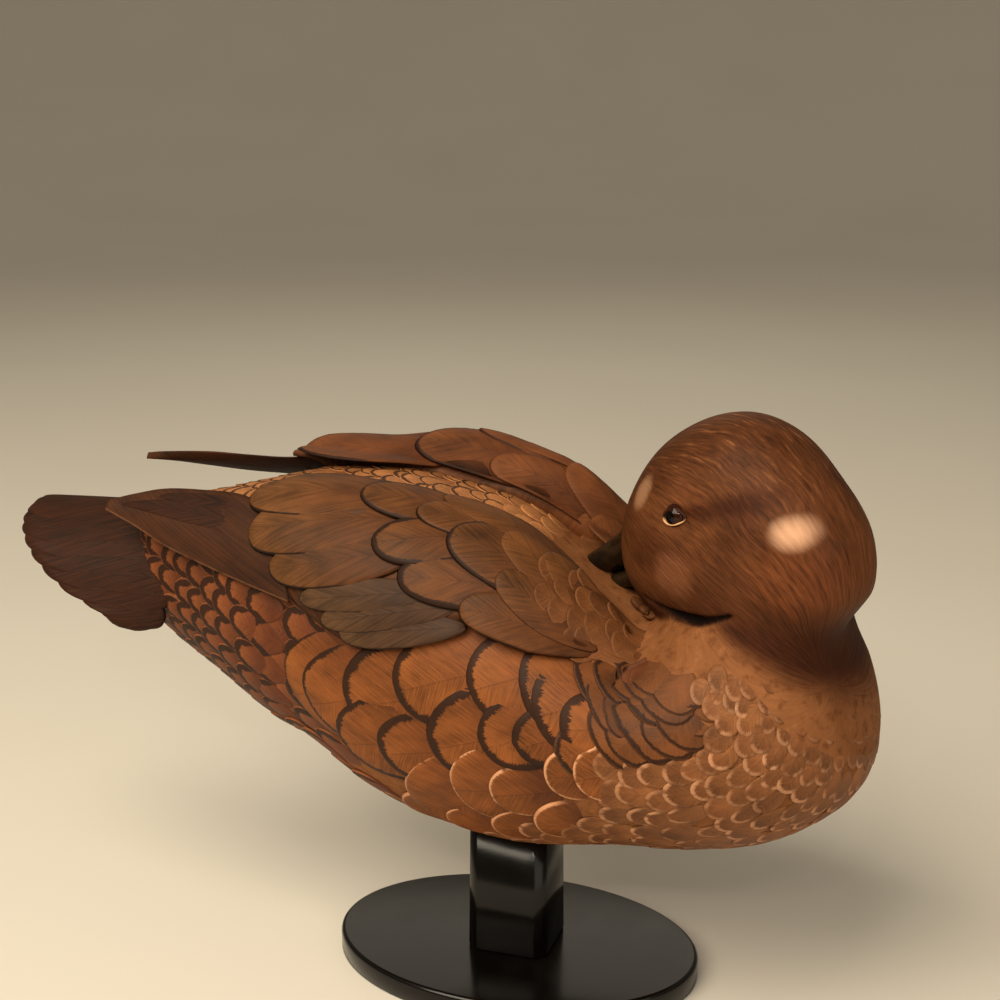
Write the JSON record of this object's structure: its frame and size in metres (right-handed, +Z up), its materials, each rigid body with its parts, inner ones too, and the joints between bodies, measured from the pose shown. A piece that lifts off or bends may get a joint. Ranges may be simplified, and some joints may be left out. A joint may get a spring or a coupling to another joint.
{
  "type": "duck decoy",
  "caption": "Carved and painted wooden decoy of a hen duck that preens, its head turned back over its folded wings, on a low black display stand.",
  "frame": {"origin": "centre of the stand's underside, under the post's axis", "axes": "+X from tail to breast, +Y to the bird's left, +Z up"},
  "size_m": [0.3542, 0.1432, 0.2382],
  "materials": {
    "body_paint": "carved wood, hand-painted orange brown with dark feather edges, satin varnish",
    "head_paint": "carved wood, hand-painted reddish brown in fine strokes, satin varnish",
    "wing_paint": "carved wood, hand-painted greyish brown with dark outlines, satin varnish",
    "flight_paint": "carved wood, hand-painted dark brown with fine streaks, satin varnish",
    "bill_horn": "carved wood, painted black-olive, gloss varnish",
    "eye_glass": "dark brown glass, polished",
    "stand_lacquer": "gloss black lacquer"
  },
  "bodies": {
    "root": {"trunk": "body_paint", "neck": "body_paint", "head": "head_paint", "bill_upper": "bill_horn", "bill_lower": "bill_horn", "eye_right": "eye_glass", "eye_left": "eye_glass", "wing_right": "wing_paint", "wing_left": "wing_paint", "primaries_right": "flight_paint", "primaries_left": "flight_paint", "tail": "flight_paint", "stand_post": "stand_lacquer", "stand_base": "stand_lacquer"}
  },
  "joints": []
}
